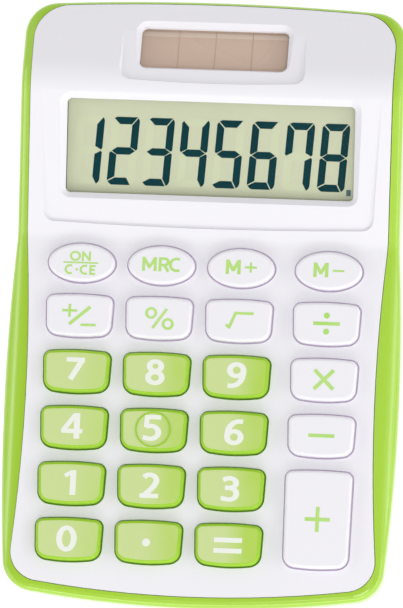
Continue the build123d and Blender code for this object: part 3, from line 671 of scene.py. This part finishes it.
# middles of the figures on their caps, from the middles of the caps
legends = {
    "key_0": (-0.25, 0.05), "key_1": (-0.12, 0.07), "key_2": (-0.15, 0.06), "key_3": (-0.08, -0.05),
    "key_4": (-0.29, 0.20), "key_5": (-0.23, 0.32), "key_6": (0.23, 0.10), "key_7": (-0.14, 0.44),
    "key_8": (-0.14, 0.29), "key_9": (0.15, 0.27), "key_point": (-0.29, -0.14), "key_equals": (0.06, -0.14),
}
smallPen = (0.42, 0.4)
legendSink = 0.005 * mm  # how far a legend starts inside its cap


def legendPieces(key):
    if key[4:] in digits:
        return drawn(digits[key[4:]], digitPen, legends[key])
    if key == "key_point":
        return drawn([dot(legends[key], 0.8)], digitPen)
    if key == "key_equals":
        x, y = legends[key]
        return drawn([bar((x, y + 1.06), 5.6, 0.95), bar((x, y - 1.06), 5.6, 0.95)], digitPen)
    if key == "key_on_clear":
        top = word([("O", -1.25, 1.2), ("N", 0.95, 1.2)], smallPen, (0.72, 0.68))
        low = word([("C", -2.45, -1.5), ("C", 0.55, -1.5), ("E", 2.35, -1.5)], smallPen, (0.68, 0.68))
        return top + low + drawn([bar((-0.1, -0.1), 7.0, 0.32), dot((-0.85, -1.5), 0.24)], smallPen)
    if key == "key_memory_recall":
        return word([("M", -2.3, 0.1), ("R", 0.6, 0.1), ("C", 2.75, 0.1)], letterPen, (1.0, 1.0))
    if key == "key_memory_plus":
        sign = drawn(plusShape((2.0, 0.1), (2.4, 2.0), 0.42), letterPen)
        return word([("M", -1.5, 0.1)], heavyPen, (1.0, 1.03)) + sign
    if key == "key_memory_minus":
        sign = drawn([bar((2.0, 0.0), 2.3, 0.38)], letterPen)
        return word([("M", -1.5, 0.1)], heavyPen, (1.0, 1.03)) + sign
    if key == "key_sign":
        strokes = plusShape((-1.85, 0.85), (3.0, 2.6), 0.5)
        return drawn(strokes + [bar((0.2, -0.1), 5.4, 0.65, 41), bar((1.95, -1.95), 3.0, 0.5)], letterPen)
    if key == "key_percent":
        rings = [ring((-1.5, 0.9), (0.93, 0.93), 24), ring((1.9, -1.2), (0.93, 0.93), 24)]
        return drawn(rings + [{"path": [(-1.1, -2.1), (1.6, 1.8)], "pen": (0.55, 0.55)}], letterPen)
    if key == "key_root":
        bars = [[(-2.45, -0.9), (-1.65, -1.45)], [(-1.85, -1.6), (-0.5, 1.7)], [(-0.65, 1.45), (3.0, 1.45)]]
        return drawn(bars, (0.6, 0.55))
    if key == "key_divide":
        return drawn([bar((0.1, 0), 5.3, 0.7), dot((0.1, 1.6), 0.6), dot((0.1, -1.6), 0.6)], letterPen)
    if key == "key_multiply":
        return drawn([bar((0.1, 0), 5.4, 0.75, 45), bar((0.1, 0), 5.4, 0.75, -45)], letterPen)
    if key == "key_minus":
        return drawn([bar((0.1, 0), 5.2, 0.7)], letterPen)
    return drawn(plusShape((0.1, 0), (5.0, 5.0), 0.75), letterPen)


for key in [name for name in slotOf if name.startswith("key_") and name != "key_mat"]:
    low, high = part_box(key)
    middle = (low + high) / 2
    spot = Vector((middle.x, middle.y, keySet["top"] - legendSink))
    finish = "legend_white" if slotOf[key] == "green_key" else "legend_green"
    piece = joined(legendPieces(key), "legend_" + key[4:])
    place(piece, Matrix.Translation(spot), key + "_cap", finish)
print("legends printed on the keys")


# ---- display digits ----
def facePlane(node):
    # turns a flat shape onto the largest upward face of a part
    corners = [v.co for v in frame["nodes"][node].data.vertices]
    biggest = max(frame["nodes"][node].data.polygons, key=lambda p: p.area * (p.normal.z > 0.5))
    normal = biggest.normal.copy()
    across = Vector((1, 0, 0))
    up = normal.cross(across)
    low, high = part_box(node)
    middle = (low + high) / 2
    height = max(normal.dot(c - middle) for c in corners)
    turn = Matrix((across, up, normal)).transposed().to_4x4()
    return Matrix.Translation(middle + normal * height) @ turn


digitSet = {  # lengths in millimetres
    "width": 5.5,
    "height": 13.55,
    "stroke": 1.45,
    "pitch": 6.99,
    "slant": math.tan(math.radians(4.2)),
    "rightEdge": 27.7,  # outer edge of the last digit at its top
    "drop": -1.0,  # middle of the digits from the middle of the glass
    "thick": 0.02,
}
pointSet = {"side": 1.25, "length": 0.9, "right": 0.35, "drop": 0.1}


def segmentOutlines():
    w, h, s = digitSet["width"], digitSet["height"], digitSet["stroke"]
    mid = h / 2
    return {
        "a": [(0.42, h - 0.28), (s + 0.15, h - s), (w - s - 0.1, h - s), (w - 0.42, h), (0.95, h)],
        "b": [
            (w - s, mid + 0.8), (w - 0.28, mid + 0.14), (w, mid + 0.42), (w, h - 0.9),
            (w - 0.12, h - 0.5), (w - 0.34, h - 0.2), (w - s, h - s - 0.2),
        ],
        "c": [
            (w - 0.62, 0.06), (w - 0.2, 0.42), (w, 0.95), (w, mid - 0.42),
            (w - 0.28, mid - 0.14), (w - s, mid - 0.8), (w - s, s + 0.05),
        ],
        "d": [(0.5, 0.28), (0.95, 0.0), (w - 0.82, 0.0), (w - s - 0.22, s), (s + 0.12, s), (0.14, 0.68)],
        "e": [(0.0, 0.95), (0.06, 0.86), (s, s + 0.22), (s, mid - 0.8), (0.3, mid - 0.14), (0.0, mid - 0.42)],
        "f": [
            (0.0, mid + 0.4), (0.28, mid + 0.14), (s, mid + 0.8),
            (s, h - s - 0.2), (0.3, h - 0.44), (0.0, h - 0.8),
        ],
        "g": [
            (0.44, mid), (s + 0.02, mid - s / 2), (w - s - 0.02, mid - s / 2),
            (w - 0.44, mid), (w - s - 0.02, mid + s / 2), (s + 0.02, mid + s / 2),
        ],
    }


lit = {
    "1": "bc", "2": "abged", "3": "abgcd", "4": "fgbc",
    "5": "afgcd", "6": "afgedc", "7": "fabc", "8": "abcdefg",
}
reading = "12345678"
lcdTop = facePlane("lcd_glass")


def segmentPiece(outline, left):
    s = digitSet
    base = s["drop"] - s["height"] / 2
    points = [((left + x + y * s["slant"]) * mm, (base + y) * mm) for x, y in outline]
    return flatShape(points, s["thick"] * mm)


def addDigits():
    s = digitSet
    outlines = segmentOutlines()
    inked, ghosts = [], []
    for index, figure in enumerate(reading):
        right = s["rightEdge"] - (len(reading) - 1 - index) * s["pitch"]
        left = right - s["width"] - s["height"] * s["slant"]
        for letter, outline in outlines.items():
            target = inked if letter in lit[figure] else ghosts
            target.append(segmentPiece(outline, left))
    place(joined(inked, "display_digits"), lcdTop, "case", "segment_ink")
    place(joined(ghosts, "display_ghost_segments"), lcdTop, "case", "segment_ghost")


def addPoint():
    s = pointSet
    right = digitSet["rightEdge"] + s["right"]
    base = digitSet["drop"] - digitSet["height"] / 2 - s["drop"]
    point = drawn([[(right - s["length"], base), (right, base)]], (s["side"], s["side"]))
    place(joined(point, "display_point"), lcdTop, "case", "segment_point")


borderSet = {"halfX": 28.66, "top": 9.35, "bottom": -9.6, "wide": 0.8}


def addBorder():
    # four mitred strips; inner and outer corners run anticlockwise from the lower left
    s = borderSet
    x, wide = s["halfX"], s["wide"]
    inner = [(-x, s["bottom"]), (x, s["bottom"]), (x, s["top"]), (-x, s["top"])]
    outer = [(a + math.copysign(wide, a), b + math.copysign(wide, b)) for a, b in inner]
    strips = []
    for i in range(4):
        j = (i + 1) % 4
        corners = [outer[i], outer[j], inner[j], inner[i]]
        strips.append(flatShape([(a * mm, b * mm) for a, b in corners], printThick))
    place(joined(strips, "display_border"), lcdTop, "case", "window_print")


addDigits()
addPoint()
addBorder()
print("display reads", reading)


# ---- solar cell lines ----
cellSet = {  # lengths in millimetres
    "width": 29.4,
    "cells": 4,
    "line": 0.16,
    "lineLength": 9.6,
    "strip": 1.0,
    "stripLength": 30.9,
    "stripY": 3.75,
}
solarTop = facePlane("solar_cell")


def addCellLines():
    s = cellSet
    quarter = s["width"] / s["cells"]
    lines = [bar((quarter * (i - 1), 0), s["lineLength"], s["line"], 90) for i in range(s["cells"] - 1)]
    place(joined(drawn(lines, letterPen), "solar_cell_lines"), solarTop, "case", "cell_line")
    strip = drawn([bar((0, s["stripY"]), s["stripLength"], s["strip"])], letterPen)
    place(joined(strip, "solar_cell_strip"), solarTop, "case", "cell_strip")


addCellLines()
print("solar cell ruled")


# ---- floor ----
# a darker colour with a glow: the floor comes out white and throws little light back
floorSet = {"size": 8.0, "z": -0.02 * mm, "colour": (0.3, 0.3, 0.3), "rough": 0.9, "glow": 0.86}


def addFloor():
    s = floorSet
    tidySelection()
    bpy.ops.mesh.primitive_plane_add(size=s["size"], location=(0, 0, s["z"]))
    floor = bpy.context.object
    floor.name = "floor"
    material = bpy.data.materials.new("floor_white")
    material.use_nodes = True
    shader = material.node_tree.nodes["Principled BSDF"]
    shader.inputs["Base Color"].default_value = rgba(s["colour"])
    shader.inputs["Roughness"].default_value = s["rough"]
    shader.inputs["Specular IOR Level"].default_value = 0.0
    shader.inputs["Emission Color"].default_value = rgba((1, 1, 1))
    shader.inputs["Emission Strength"].default_value = s["glow"]
    floor.data.materials.append(material)
    return floor


floor = addFloor()
floor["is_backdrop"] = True
print("floor laid")

low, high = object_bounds()
